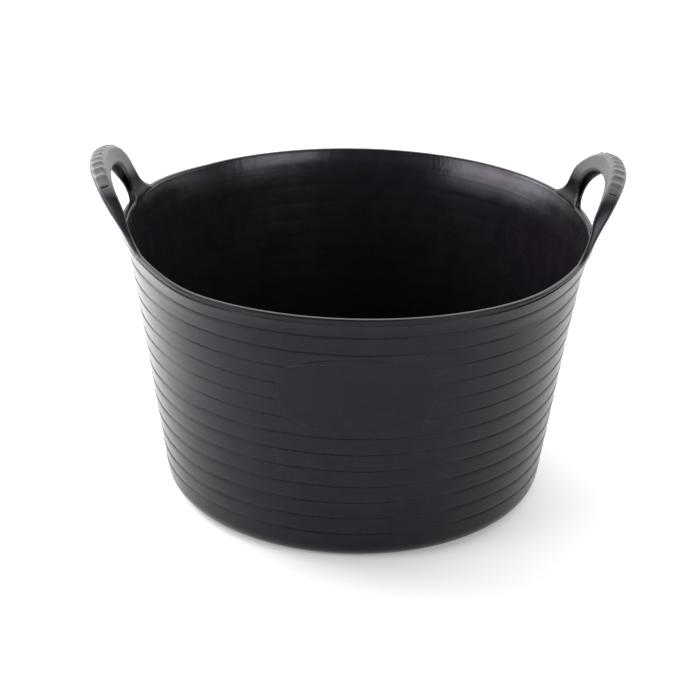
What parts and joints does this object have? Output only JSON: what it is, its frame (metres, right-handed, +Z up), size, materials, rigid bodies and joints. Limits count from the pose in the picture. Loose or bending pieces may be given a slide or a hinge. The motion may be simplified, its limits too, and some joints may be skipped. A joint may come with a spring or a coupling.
{
  "type": "mortar mixing tub",
  "caption": "Round flexible mixing tub with a banded conical wall, a thin lip and looped handles that flex at the rim, for mixing and carrying mortar.",
  "frame": {"origin": "centre of the ring that the tub stands on, on the ground", "axes": "+Z up; +X from the left handle to the right one; -Y is the front, with the label panel"},
  "size_m": [0.4694, 0.41, 0.3089],
  "materials": {
    "tub_plastic": "satin black flexible polyethylene, fine moulded grain, light scuffs",
    "handle_plastic": "satin black flexible polyethylene, smoother and a little worn in the grip"
  },
  "bodies": {
    "tub": {"base_floor": "tub_plastic", "foot_ring": "tub_plastic", "side_wall": "tub_plastic", "wall_bands": "tub_plastic", "label_panel": "tub_plastic", "rim_collar": "tub_plastic", "rim_lip": "tub_plastic", "left_front_root": "tub_plastic", "left_rear_root": "tub_plastic", "right_front_root": "tub_plastic", "right_rear_root": "tub_plastic"},
    "left_handle": {"left_front_leg": "handle_plastic", "left_rear_leg": "handle_plastic", "left_grip": "handle_plastic", "left_grip_ridges": "handle_plastic"},
    "right_handle": {"right_front_leg": "handle_plastic", "right_rear_leg": "handle_plastic", "right_grip": "handle_plastic", "right_grip_ridges": "handle_plastic"}
  },
  "joints": [
    {"name": "left_handle_flex", "type": "hinge", "parent": "tub", "child": "left_handle", "pos_m": [-0.199, 0, 0.2505], "axis": [0, 1, 0], "range_deg": [-20, 75], "stiffness_Nm_per_rad": 3},
    {"name": "right_handle_flex", "type": "hinge", "parent": "tub", "child": "right_handle", "pos_m": [0.199, 0, 0.2505], "axis": [0, -1, 0], "range_deg": [-20, 75], "stiffness_Nm_per_rad": 3}
  ]
}
